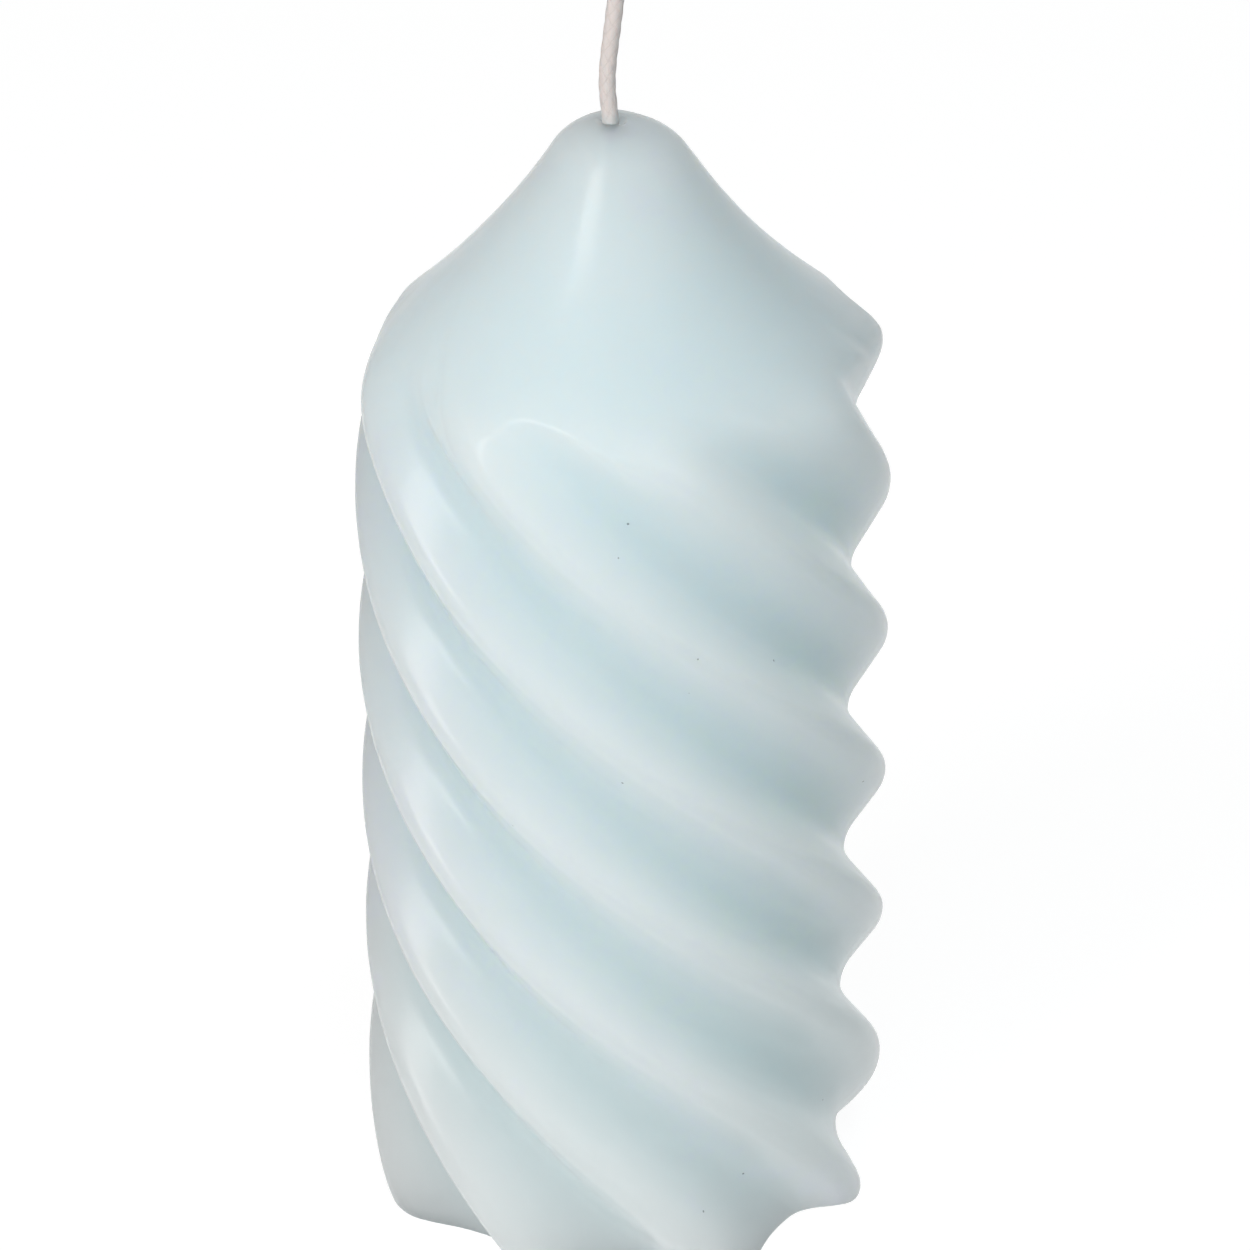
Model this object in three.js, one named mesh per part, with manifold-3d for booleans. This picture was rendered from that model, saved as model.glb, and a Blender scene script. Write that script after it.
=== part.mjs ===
// A moulded pillar candle: a wax pillar with twisted ridges under a turned cone, a cotton wick that stands
// in the hole down its middle, and the pressed sustainer that holds the foot of the wick.
// Millimetres, +Z up, the origin at the middle of the foot. The photographed side faces -Y.

import * as THREE from "three";
import { mergeVertices, toCreasedNormals } from "three/addons/utils/BufferGeometryUtils.js";
import Module from "manifold-3d";

// Wax pillar, over its ridges
const WAX_HEIGHT = 155;
const CREST_RADIUS = 35;
const FOOT_ROUNDING = 1.3; // inwards, as a quarter of an ellipse
const FOOT_ROUNDING_HEIGHT = 12;

// Ridges: across the pillar each one is an arc over the crest, two straight flanks and an arc in the groove
const RIDGE_COUNT = 8;
const RIDGE_HEIGHT_AT_TIP = 4.3;
const RIDGE_HEIGHT_AT_FOOT = 5.8;
const CREST_ROUNDING = 5.2;
const GROOVE_ROUNDING = 10.5;
const RIDGE_LEAN = 2; // how far the crest lies past the middle of its pitch, anticlockwise from above
const RIDGE_LEAN_AT_FOOT = -3.8;

// Twist: a groove goes once round in the lead, clockwise on its way up, and the twist slackens at both ends
const TWIST_LEAD = 171.5;
const GROOVE_AZIMUTH = 10.3; // degrees from +X, where the helix of one groove would reach the foot
const FOOT_SLACK_HEIGHT = 32; // how far up the twist is slack, and the ridges lean over
const FOOT_SLACK = 2; // degrees by which the grooves lag behind the helix at the foot
const RIM_SLACK_HEIGHT = 30.5; // the same below the cone's rim
const RIM_SLACK = 5.4;

// Cone, turned about the axis: a small flat, a rounded tip and a side that is hollow along its slope
const TIP_FLAT_RADIUS = 1.5;
const TIP_ROUNDING = 8.7;
const CONE_HALF_ANGLE = 31.5; // degrees from the axis, below the rounded tip
const CONE_DEPTH = 32.4; // from the tip down to where the cone meets the crests
const CONE_STEEP_SHARE = 0.48; // of the side's length, steered by the slope at the tip

// Clearance between pieces that touch
const SEAT_GAP = 0.3;

// Wick: primed cotton, in one length from the sustainer to its free end
const WICK_DIAMETER = 2.2;
const WICK_LEANS_TO = 215; // degrees from +X, the side of the hole's mouth that the wick rests on
// Its free end, as [towards +X, towards +Y, up] from where it leaves the wax
const WICK_FREE_END = [
  [-0.33, 0, 2.8],
  [-0.45, 0, 6.1],
  [-0.28, 0, 8.2],
  [0.25, 0, 12.6],
  [0.75, 0, 17],
  [1.3, 0.1, 21.8],
  [1.95, 0.3, 27.2],
];

// Sustainer: a disc with a pressed rib and a neck that is crimped round the wick
const SHEET = 0.3;
const TAB_RADIUS = 8;
const TAB_LIFT = 0.4; // from the table to the disc, so that the candle stands on its wax
const RIB_RADIUS = 5.2;
const RIB_WIDTH = 2.4;
const RIB_HEIGHT = 0.5;
const NECK_BEND = 0.6;
const NECK_HEIGHT = 4;

// Hole that the wick pin leaves in the wax
const MOUTH_ROUNDING = 0.5;
const PIN_DRIFT = -0.9; // along X at the tip: the pin leaned in the mould

// How finely curves are divided
const ARC_STEPS = 2;
const FOOT_STEPS = 5;
const LEVEL_STEP = 3.2;
const CONE_SEGMENTS = 80;
const CONE_STEPS = 5;
const BORE_SEGMENTS = 28;
const TAB_SEGMENTS = 40;
const RIB_STEPS = 8;
const WICK_SIDES = 10;
const WICK_STEPS = 70;
const CREASE_ANGLE = THREE.MathUtils.degToRad(25);
const PAST_FACE = 1; // how far a cutting form runs past what it cuts
const UP = new THREE.Vector3(0, 0, 1);

const wickRadius = WICK_DIAMETER / 2;
const neckBore = wickRadius + SEAT_GAP;
const neckRadius = neckBore + SHEET;
const holeRadius = neckRadius + SEAT_GAP;
const coneRim = new THREE.Vector2(CREST_RADIUS, WAX_HEIGHT - CONE_DEPTH);

const manifold = await Module();
manifold.setup();

// A closed solid from a geometry whose vertices may be doubled along its seams
function solidOf(geometry) {
  const bare = geometry.clone();
  bare.deleteAttribute("normal");
  bare.deleteAttribute("uv");
  const merged = mergeVertices(bare);
  return new manifold.Manifold(
    new manifold.Mesh({
      numProp: 3,
      vertProperties: merged.getAttribute("position").array,
      triVerts: new Uint32Array(merged.getIndex().array),
    }),
  );
}

function geometryOf(solid) {
  const { vertProperties, triVerts } = solid.getMesh();
  const geometry = new THREE.BufferGeometry();
  geometry.setAttribute("position", new THREE.BufferAttribute(vertProperties, 3));
  geometry.setIndex(new THREE.BufferAttribute(triVerts, 1));
  return geometry;
}

function turned(profile, segments) {
  return new THREE.LatheGeometry(profile, segments).rotateX(Math.PI / 2);
}

function pieceOf(name, geometry, material) {
  const mesh = new THREE.Mesh(toCreasedNormals(geometry, CREASE_ANGLE), material);
  mesh.name = name;
  return mesh;
}

// One side of a ridge, from the groove up to the crest. Each point holds its share of that side's width and
// its drop below the crest. Where the ridge has no room for both roundings, they shrink together.
function ridgeSide(ridgeHeight) {
  const width = (Math.PI * (CREST_RADIUS - ridgeHeight / 2)) / RIDGE_COUNT;
  const mostRounding = (width ** 2 + ridgeHeight ** 2) / (2 * ridgeHeight);
  const room = Math.min(1, (0.95 * mostRounding) / (CREST_ROUNDING + GROOVE_ROUNDING));
  const crest = CREST_ROUNDING * room;
  const groove = GROOVE_ROUNDING * room;
  const over = crest + groove - ridgeHeight;
  const flankAngle = Math.atan2(width, over) - Math.acos((crest + groove) / Math.hypot(width, over));
  const points = [];
  for (let i = 0; i <= ARC_STEPS; i++) {
    const angle = (flankAngle * i) / ARC_STEPS;
    points.push({
      share: (groove * Math.sin(angle)) / width,
      drop: ridgeHeight - groove * (1 - Math.cos(angle)),
    });
  }
  for (let i = ARC_STEPS; i >= 0; i--) {
    const angle = (flankAngle * i) / ARC_STEPS;
    points.push({
      share: 1 - (crest * Math.sin(angle)) / width,
      drop: crest * (1 - Math.cos(angle)),
    });
  }
  return points;
}

// A whole ridge, groove to groove. Each point holds its share of the pitch and its drop below the crest.
function ridgeOutline(ridgeHeight, lean) {
  const pitch = (2 * Math.PI * (CREST_RADIUS - ridgeHeight / 2)) / RIDGE_COUNT;
  const crestShare = 0.5 + lean / pitch;
  const side = ridgeSide(ridgeHeight);
  const rising = side.map(({ share, drop }) => ({ share: share * crestShare, drop }));
  const falling = side
    .slice(1, -1)
    .reverse()
    .map(({ share, drop }) => ({ share: 1 - share * (1 - crestShare), drop }));
  return [...rising, ...falling];
}

// How much a level belongs to the slack end of the twist: 1 at that end, and 0 past the slack stretch
function slackness(fromEnd, slackHeight) {
  return Math.max(0, 1 - fromEnd / slackHeight) ** 2;
}

// Degrees from +X of one groove at a height above the foot
function grooveAzimuth(z) {
  const lag = FOOT_SLACK * slackness(z, FOOT_SLACK_HEIGHT);
  const lead = RIM_SLACK * slackness(coneRim.y - z, RIM_SLACK_HEIGHT);
  return GROOVE_AZIMUTH - (360 * z) / TWIST_LEAD - lag + lead;
}

// The ring of points where a level plane cuts the ridges, drawn in by the foot's rounding
function ridgedRing(z, inset) {
  const ridgeHeight = THREE.MathUtils.mapLinear(z, 0, WAX_HEIGHT, RIDGE_HEIGHT_AT_FOOT, RIDGE_HEIGHT_AT_TIP);
  const lean = THREE.MathUtils.lerp(RIDGE_LEAN, RIDGE_LEAN_AT_FOOT, slackness(z, FOOT_SLACK_HEIGHT));
  const outline = ridgeOutline(ridgeHeight, lean);
  const pitchAngle = 360 / RIDGE_COUNT;
  const ring = [];
  for (let ridge = 0; ridge < RIDGE_COUNT; ridge++) {
    for (const { share, drop } of outline) {
      const azimuth = grooveAzimuth(z) + pitchAngle * (ridge + share);
      const radius = CREST_RADIUS - inset - drop;
      ring.push(new THREE.Vector3(radius, 0, z).applyAxisAngle(UP, THREE.MathUtils.degToRad(azimuth)));
    }
  }
  return ring;
}

// The twisted shaft, lofted from the foot to above the tip, where the cone will cut it
function twistedShaft() {
  const rings = [];
  for (let i = 0; i < FOOT_STEPS; i++) {
    const angle = (i / FOOT_STEPS) * (Math.PI / 2);
    const inset = FOOT_ROUNDING * (1 - Math.sin(angle));
    rings.push(ridgedRing(FOOT_ROUNDING_HEIGHT * (1 - Math.cos(angle)), inset));
  }
  const top = WAX_HEIGHT + PAST_FACE;
  const steps = Math.ceil((top - FOOT_ROUNDING_HEIGHT) / LEVEL_STEP);
  for (let i = 0; i <= steps; i++) {
    rings.push(ridgedRing(THREE.MathUtils.lerp(FOOT_ROUNDING_HEIGHT, top, i / steps), 0));
  }
  return loft(rings);
}

// A skin over rings that have as many points each, closed at both ends by a fan about the axis
function loft(rings) {
  const count = rings[0].length;
  const last = (rings.length - 1) * count;
  const footMiddle = rings.length * count;
  const topMiddle = footMiddle + 1;
  const index = [];
  for (let level = 0; level < rings.length - 1; level++) {
    for (let i = 0; i < count; i++) {
      const a = level * count + i;
      const b = level * count + ((i + 1) % count);
      index.push(a, b, b + count);
      index.push(a, b + count, a + count);
    }
  }
  for (let i = 0; i < count; i++) {
    const next = (i + 1) % count;
    index.push(footMiddle, next, i);
    index.push(topMiddle, last + i, last + next);
  }
  const middles = [rings[0], rings.at(-1)].map((ring) => new THREE.Vector3(0, 0, ring[0].z));
  const geometry = new THREE.BufferGeometry().setFromPoints([...rings.flat(), ...middles]);
  geometry.setIndex(index);
  return geometry;
}

// What the cone leaves of the pillar: everything inside it, and more than the shaft below its rim
function turnedEnvelope() {
  const halfAngle = THREE.MathUtils.degToRad(CONE_HALF_ANGLE);
  const tipMiddle = new THREE.Vector2(TIP_FLAT_RADIUS, WAX_HEIGHT - TIP_ROUNDING);
  const sideTop = new THREE.Vector2(Math.cos(halfAngle), Math.sin(halfAngle))
    .multiplyScalar(TIP_ROUNDING)
    .add(tipMiddle);
  const steer = new THREE.Vector2(Math.sin(halfAngle), -Math.cos(halfAngle))
    .multiplyScalar(CONE_STEEP_SHARE * sideTop.distanceTo(coneRim))
    .add(sideTop);
  const outside = coneRim.clone().sub(steer).setLength(2 * PAST_FACE).add(coneRim);
  const profile = new THREE.Path();
  profile.moveTo(0, -PAST_FACE);
  profile.lineTo(outside.x, -PAST_FACE);
  profile.lineTo(outside.x, outside.y);
  profile.lineTo(coneRim.x, coneRim.y);
  profile.quadraticCurveTo(steer.x, steer.y, sideTop.x, sideTop.y);
  profile.absarc(tipMiddle.x, tipMiddle.y, TIP_ROUNDING, halfAngle, Math.PI / 2, false);
  profile.lineTo(0, WAX_HEIGHT);
  return turned(profile.getPoints(CONE_STEPS), CONE_SEGMENTS);
}

// The hole that the wick pin leaves, leaning with the pin and rounded at its mouth
function wickHole() {
  const bend = new THREE.Vector2(holeRadius + MOUTH_ROUNDING, WAX_HEIGHT - MOUTH_ROUNDING);
  const profile = new THREE.Path();
  profile.moveTo(0, -PAST_FACE);
  profile.lineTo(holeRadius, -PAST_FACE);
  profile.lineTo(holeRadius, bend.y);
  profile.absarc(bend.x, bend.y, MOUTH_ROUNDING, Math.PI, Math.PI / 2, true);
  profile.lineTo(bend.x, WAX_HEIGHT + PAST_FACE);
  profile.lineTo(0, WAX_HEIGHT + PAST_FACE);
  const lean = new THREE.Matrix4().makeShear(0, 0, 0, 0, PIN_DRIFT / WAX_HEIGHT, 0);
  return turned(profile.getPoints(ARC_STEPS), BORE_SEGMENTS).applyMatrix4(lean);
}

// The shallow recess under the foot that takes the sustainer's disc and its rib
function tabRecess() {
  const radius = TAB_RADIUS + SEAT_GAP;
  const depth = TAB_LIFT + SHEET + RIB_HEIGHT + SEAT_GAP;
  const profile = [
    new THREE.Vector2(0, -PAST_FACE),
    new THREE.Vector2(radius, -PAST_FACE),
    new THREE.Vector2(radius, depth),
    new THREE.Vector2(0, depth),
  ];
  return turned(profile, TAB_SEGMENTS);
}

function waxBody() {
  const pillar = solidOf(twistedShaft()).intersect(solidOf(turnedEnvelope()));
  return geometryOf(pillar.subtract(solidOf(wickHole())).subtract(solidOf(tabRecess())));
}

// The wick stands in the neck, leans on the mouth of the hole and bends as it was left above the wax
function wick() {
  const leans = THREE.MathUtils.degToRad(WICK_LEANS_TO);
  const offMiddle = holeRadius - wickRadius - SEAT_GAP;
  const mouth = new THREE.Vector3(
    PIN_DRIFT + offMiddle * Math.cos(leans),
    offMiddle * Math.sin(leans),
    WAX_HEIGHT,
  );
  const foot = new THREE.Vector3(0, 0, TAB_LIFT);
  const free = WICK_FREE_END.map((step) => new THREE.Vector3(...step).add(mouth));
  const hidden = [0, 1 / 3, 2 / 3, 1].map((share) => foot.clone().lerp(mouth, share));
  const route = new THREE.CatmullRomCurve3([...hidden, ...free], false, "centripetal");
  const section = new THREE.Shape();
  for (let i = 0; i < WICK_SIDES; i++) {
    const angle = (2 * Math.PI * i) / WICK_SIDES;
    const corner = [wickRadius * Math.cos(angle), wickRadius * Math.sin(angle)];
    if (i === 0) section.moveTo(...corner);
    else section.lineTo(...corner);
  }
  return new THREE.ExtrudeGeometry(section, { steps: WICK_STEPS, extrudePath: route });
}

// Height of the pressed rib at a radius of the disc
function ribRise(radius) {
  const off = Math.abs(radius - RIB_RADIUS) / (RIB_WIDTH / 2);
  return off < 1 ? RIB_HEIGHT * Math.cos((off * Math.PI) / 2) ** 2 : 0;
}

// One sheet, drawn up in the middle into the neck and pressed up in a ring
function sustainer() {
  const ribRadii = Array.from({ length: RIB_STEPS + 1 }, (_, i) =>
    THREE.MathUtils.lerp(RIB_RADIUS - RIB_WIDTH / 2, RIB_RADIUS + RIB_WIDTH / 2, i / RIB_STEPS),
  );
  const discTop = TAB_LIFT + SHEET;
  const under = ribRadii.map((r) => new THREE.Vector2(r, TAB_LIFT + ribRise(r)));
  const over = ribRadii.map((r) => new THREE.Vector2(r, discTop + ribRise(r))).reverse();
  const outerBend = new THREE.Path();
  outerBend.absarc(neckRadius + NECK_BEND, discTop + NECK_BEND, NECK_BEND, -Math.PI / 2, Math.PI, true);
  const neckTop = discTop + NECK_HEIGHT;
  const profile = [
    new THREE.Vector2(neckBore, TAB_LIFT),
    ...under,
    new THREE.Vector2(TAB_RADIUS, TAB_LIFT),
    new THREE.Vector2(TAB_RADIUS, discTop),
    ...over,
    ...outerBend.getPoints(ARC_STEPS),
    new THREE.Vector2(neckRadius, neckTop),
    new THREE.Vector2(neckBore, neckTop),
    new THREE.Vector2(neckBore, TAB_LIFT),
  ];
  return turned(profile, TAB_SEGMENTS);
}

const wax = new THREE.MeshStandardMaterial({ color: 0xd5e1e5, roughness: 0.42, metalness: 0 });
const cotton = new THREE.MeshStandardMaterial({ color: 0xe6deda, roughness: 0.8, metalness: 0 });
const tinplate = new THREE.MeshStandardMaterial({ color: 0xc4c6c8, roughness: 0.35, metalness: 1 });

const candle = new THREE.Group();
candle.add(
  pieceOf("wax_body", waxBody(), wax),
  pieceOf("wick", wick(), cotton),
  pieceOf("wick_sustainer", sustainer(), tinplate),
);

export default candle;
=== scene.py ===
# A moulded pillar candle with twisted ridges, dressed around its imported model. Metres, +Z up, foot on z = 0.
import math

import bpy
import numpy as np
from mathutils import Matrix, Vector


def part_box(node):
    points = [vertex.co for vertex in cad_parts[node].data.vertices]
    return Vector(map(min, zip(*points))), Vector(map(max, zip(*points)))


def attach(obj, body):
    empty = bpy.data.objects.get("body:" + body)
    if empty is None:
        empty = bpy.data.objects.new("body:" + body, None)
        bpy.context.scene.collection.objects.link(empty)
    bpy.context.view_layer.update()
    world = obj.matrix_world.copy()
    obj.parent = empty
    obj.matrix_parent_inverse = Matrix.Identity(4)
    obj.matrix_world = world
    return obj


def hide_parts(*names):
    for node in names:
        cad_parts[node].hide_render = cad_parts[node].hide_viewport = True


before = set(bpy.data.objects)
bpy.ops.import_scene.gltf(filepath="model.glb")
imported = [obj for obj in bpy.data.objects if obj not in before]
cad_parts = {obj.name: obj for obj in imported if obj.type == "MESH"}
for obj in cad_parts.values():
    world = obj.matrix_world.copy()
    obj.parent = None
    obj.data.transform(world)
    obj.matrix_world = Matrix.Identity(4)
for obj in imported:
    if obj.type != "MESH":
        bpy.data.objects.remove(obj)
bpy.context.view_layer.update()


# Wax pillar: paraffin tinted a pale ice blue, poured into a flexible mould round a wick pin. Eight ridges
# twist up its side, a turned cone with a hollow side cuts them off, and the foot is levelled on a warm plate.
# The wick is waxed in afterwards, which leaves a dimple beside it where the pin's hole isn't quite filled.
wax_low, wax_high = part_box("wax_body")
CREST_RADIUS = (wax_high.x - wax_low.x) / 2
WAX_HEIGHT = wax_high.z
FOOT_ROUNDING = 0.0013
FOOT_ROUNDING_HEIGHT = 0.0120
RIDGE_COUNT = 8
RIDGE_HEIGHT_AT_TIP = 0.0043
RIDGE_HEIGHT_AT_FOOT = 0.0058
CREST_ROUNDING = 0.0052
GROOVE_ROUNDING = 0.0105
RIDGE_LEAN = 0.0020  # how far the crest lies past the middle of its pitch
RIDGE_LEAN_AT_FOOT = -0.0038
TWIST_LEAD = 0.1715
GROOVE_AZIMUTH = math.radians(10.3)
FOOT_SLACK_HEIGHT = 0.0320
FOOT_SLACK = math.radians(2)
RIM_SLACK_HEIGHT = 0.0305
RIM_SLACK = math.radians(5.4)
SLACK_PAST_END = 0.2  # how far past its end a slack stretch goes on, as a share of it
TIP_FLAT_RADIUS = 0.0015
TIP_ROUNDING = 0.0087
CONE_HALF_ANGLE = math.radians(31.5)
CONE_DEPTH = 0.0324
CONE_STEEP_SHARE = 0.48
BLEND_PAST_RIM = 0.0105  # how far beyond its rim the cone still softens the ridges' tops
OUTLINE_POINTS = 600  # along the cone's dome, and as many along its side
# How wide the edge between the cone and each groove is rounded, and between which shares of a pitch from the
# groove's middle that width holds. From there to the next groove it runs into that one's width.
EDGE_SOFTNESS = (0.0012, 0.0026, 0.0066, 0.0005, 0.0042, 0.0032, 0.0007, 0.0018)
EDGE_HOLDS_FROM, EDGE_HOLDS_TO = -0.27, 0.30
# How much wider the rounding is before each crest, and where in a pitch it widens and narrows again
EDGE_SOFTER_AT_CREST = 0.0036
SOFTER_FROM, SOFTER_OVER = 0.16, 0.20
HARDER_FROM, HARDER_OVER = 0.46, 0.27
RIDGE_POINTS = 44  # across one ridge
WAVES = ((0.030, 0.00010), (0.006, 0.00003))  # length and depth of the waves in the cooled skin
WAVES_PER_SUM = 24
WAVE_LENGTH_SPREAD = (0.7, 1.5)
WAVE_SUM_RANGE = 2.6  # the sum's reach between 0 and 1, in square roots of its number of waves
WAVES_FROM_HEIGHT, WAVES_FULL_OVER_HEIGHT = 0.0020, 0.0060
WAVES_FROM_RADIUS, WAVES_FULL_OVER_RADIUS = 0.0035, 0.0030
SHARP_EDGE = math.radians(50)


def slackness(from_end, slack_height):
    """How slack the twist is at a level: 1 at its slack end, more beyond it, and 0 past the slack stretch."""
    return np.clip(1 - from_end / slack_height, 0, 1 + SLACK_PAST_END) ** 2


def groove_azimuth(z):
    lag = FOOT_SLACK * slackness(z, FOOT_SLACK_HEIGHT)
    lead = RIM_SLACK * slackness(WAX_HEIGHT - CONE_DEPTH - z, RIM_SLACK_HEIGHT)
    return GROOVE_AZIMUTH - 2 * math.pi * z / TWIST_LEAD - lag + lead


def drop_below_crest(way, ridge_height):
    """How far the side lies below the crest; way is 0 on the crest and 1 in the middle of the groove."""
    width = math.pi * (CREST_RADIUS - ridge_height / 2) / RIDGE_COUNT
    roundings = CREST_ROUNDING + GROOVE_ROUNDING
    over = roundings - ridge_height
    flank = np.arctan2(width, over) - np.arccos(roundings / np.hypot(width, over))
    along = way * width
    crest_end = CREST_ROUNDING * np.sin(flank)
    groove_start = width - GROOVE_ROUNDING * np.sin(flank)
    on_crest = CREST_ROUNDING - np.sqrt(CREST_ROUNDING**2 - np.minimum(along, crest_end) ** 2)
    on_flank = CREST_ROUNDING * (1 - np.cos(flank)) + (along - crest_end) * np.tan(flank)
    to_middle = np.clip(width - along, 0, GROOVE_ROUNDING * np.sin(flank))
    in_groove = ridge_height - GROOVE_ROUNDING + np.sqrt(GROOVE_ROUNDING**2 - to_middle**2)
    return np.where(along < crest_end, on_crest, np.where(along < groove_start, on_flank, in_groove))


def ridged_radius(turn, z):
    """Distance from the axis to the twisted side; turn counts ridges from a groove."""
    ridge_height = RIDGE_HEIGHT_AT_FOOT + (RIDGE_HEIGHT_AT_TIP - RIDGE_HEIGHT_AT_FOOT) * z / WAX_HEIGHT
    pitch = 2 * math.pi * (CREST_RADIUS - ridge_height / 2) / RIDGE_COUNT
    lean = RIDGE_LEAN + (RIDGE_LEAN_AT_FOOT - RIDGE_LEAN) * slackness(z, FOOT_SLACK_HEIGHT)
    crest_share = 0.5 + lean / pitch
    share = turn % 1
    way = np.where(share < crest_share, 1 - share / crest_share, (share - crest_share) / (1 - crest_share))
    return CREST_RADIUS - drop_below_crest(way, ridge_height)


def cone_outline():
    """The turned cone from the flat at its tip to its rim, as radius, height and the way run along it."""
    middle = Vector((TIP_FLAT_RADIUS, WAX_HEIGHT - TIP_ROUNDING))
    side_top = middle + TIP_ROUNDING * Vector((math.cos(CONE_HALF_ANGLE), math.sin(CONE_HALF_ANGLE)))
    rim = Vector((CREST_RADIUS, WAX_HEIGHT - CONE_DEPTH))
    reach = CONE_STEEP_SHARE * (rim - side_top).length
    steer = side_top + reach * Vector((math.sin(CONE_HALF_ANGLE), -math.cos(CONE_HALF_ANGLE)))
    angles = np.linspace(math.pi / 2, CONE_HALF_ANGLE, OUTLINE_POINTS)
    dome = np.stack([middle.x + TIP_ROUNDING * np.cos(angles), middle.y + TIP_ROUNDING * np.sin(angles)], 1)
    t = np.linspace(0, 1, OUTLINE_POINTS)[1:, None]
    side = (1 - t) ** 2 * np.array(side_top) + 2 * t * (1 - t) * np.array(steer) + t**2 * np.array(rim)
    past_rim = np.array(rim + 1.05 * BLEND_PAST_RIM * (rim - steer).normalized())  # just past the last ring
    points = np.vstack([[[0, WAX_HEIGHT]], dome, side, [past_rim]])
    run = np.concatenate([[0], np.cumsum(np.hypot(*np.diff(points, axis=0).T))])
    return points[:, 0], points[:, 1], run


def edge_softness(turn):
    """How wide the cone's edge is rounded; turn counts ridges from a groove."""
    holds = [[groove + EDGE_HOLDS_FROM, groove + EDGE_HOLDS_TO] for groove in range(RIDGE_COUNT)]
    own = np.interp(turn, np.ravel(holds), np.repeat(EDGE_SOFTNESS, 2), period=RIDGE_COUNT)
    share = turn % 1
    before_crest = smooth_step((share - SOFTER_FROM) / SOFTER_OVER)
    before_crest -= smooth_step((share - HARDER_FROM) / HARDER_OVER)
    return own + EDGE_SOFTER_AT_CREST * before_crest


def softer_of(a, b, softness):
    """The smaller of two radii, with the edge between them rounded."""
    near = np.clip(1 - np.abs(a - b) / (1.5 * softness), 0, 1)
    return np.minimum(a, b) - softness / 4 * near**3


def skin_waves(points, wave_length, seed):
    """Slow uneven waves from 0 to 1 over points in space, the same each run."""
    random = np.random.default_rng(seed)
    total = np.zeros(points.shape[:-1])
    for _ in range(WAVES_PER_SUM):
        direction = random.normal(size=3)
        length = wave_length * random.uniform(*WAVE_LENGTH_SPREAD)
        direction *= 2 * math.pi / (length * np.linalg.norm(direction))
        total += np.sin(points @ direction + random.uniform(0, 2 * math.pi))
    return np.clip(0.5 + total / (WAVE_SUM_RANGE * math.sqrt(WAVES_PER_SUM)), 0, 1)


def smooth_step(share):
    share = np.clip(share, 0, 1)
    return share * share * (3 - 2 * share)


def ring_mesh(name, rings, closed_loop):
    """A mesh over rings of as many points each; the last ring joins the first, or both ends get a cap."""
    rings = np.asarray(rings)
    levels, around = rings.shape[:2]
    index = np.arange(levels * around).reshape(levels, around)
    upper = index if closed_loop else index[:-1]
    lower = np.roll(index, -1, axis=0) if closed_loop else index[1:]
    quads = np.stack([upper, lower, np.roll(lower, -1, axis=1), np.roll(upper, -1, axis=1)], -1)
    faces = quads.reshape(-1, 4).tolist()
    if not closed_loop:
        faces.append(index[0].tolist())
        faces.append(index[-1, ::-1].tolist())
    mesh = bpy.data.meshes.new(name)
    mesh.from_pydata(rings.reshape(-1, 3).tolist(), [], faces)
    mesh.shade_smooth()
    piece = bpy.data.objects.new(name, mesh)
    bpy.context.scene.collection.objects.link(piece)
    return piece


def wick_middle(levels):
    """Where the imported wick's centre line passes each height: the middle of what that level cuts."""
    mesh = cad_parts["wick"].data
    corners = np.array([vertex.co for vertex in mesh.vertices])
    ends = corners[np.array([edge.vertices[:] for edge in mesh.edges])]
    below, above = ends[:, 0], ends[:, 1]
    middles = []
    for level in levels:
        crosses = (below[:, 2] - level) * (above[:, 2] - level) < 0
        share = (level - below[crosses, 2]) / (above[crosses, 2] - below[crosses, 2])
        cut = below[crosses] + (above[crosses] - below[crosses]) * share[:, None]
        middles.append((cut.min(0) + cut.max(0)) / 2)
    return np.array(middles)


# The rings run up the wick's side where wax holds it, out of the dimple and over the tip, down the cone and
# the ridges, round the foot, into the recess for the sustainer and back up the hole
PIN_HOLE_RADIUS = 0.0020
PIN_DRIFT = -0.0009  # along X at the tip
DIMPLE_DRIFT = -0.00125  # along X
DIMPLE_RADIUS = 0.0021
DIMPLE_DEPTH = 0.0010
DIMPLE_AT_SIDES = 0.25  # of its way from the shallow side to the deep one, abreast of the wick
DIMPLE_CORNER = 0.0006  # from its floor down to the straight side that holds the wick
TIP_LEAN = -0.0004  # along X, from pulling the candle out of its mould
LEAN_REACHES_DOWN = 0.0320
LEAN_FULL_OVER = 0.0160
TIP_SAG = 0.00045  # on the tip's right, where the wax shrank most as it set
SAG_FROM = -0.0020  # along X
SAG_FULL_OVER = 0.0050
SAG_RADIUS = 0.0105
SAG_FADES_OVER = 0.0040
WAXED_IN_DEPTH = 0.0160  # how far down the wax that ran in holds the wick
WAXED_IN_END = 0.0020  # how far below that the hole narrows to the wick
WICK_CLEARANCE = 0.00003
WICK_RADIUS = 0.0011
RECESS_RADIUS = 0.0083
RECESS_DEPTH = 0.0015
RECESS_EDGE = 0.0004
HOLE_MOUTH_WIDTH, HOLE_MOUTH_HEIGHT = 0.0005, 0.0003  # of its bevelled mouth in the recess
AXIS_CENTRED_FROM = 0.0070  # from this radius on, the tip's rings are true to its leaning axis
HELD_RINGS = 16
DIMPLE_RINGS = 16
TIP_RINGS = 16
CONE_RING_STEP = 0.00055
CLOSE_RINGS = 140  # where the cone meets the ridges
CLOSE_FROM = 2.2  # how many ridge heights inside the rim they start; they end with the blend past it
RIDGE_RINGS = 150
FOOT_ROUNDING_RINGS = 19
UNDERSIDE_RINGS = 17
RECESS_EDGE_RINGS = 4
HOLE_RINGS = 40

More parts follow.
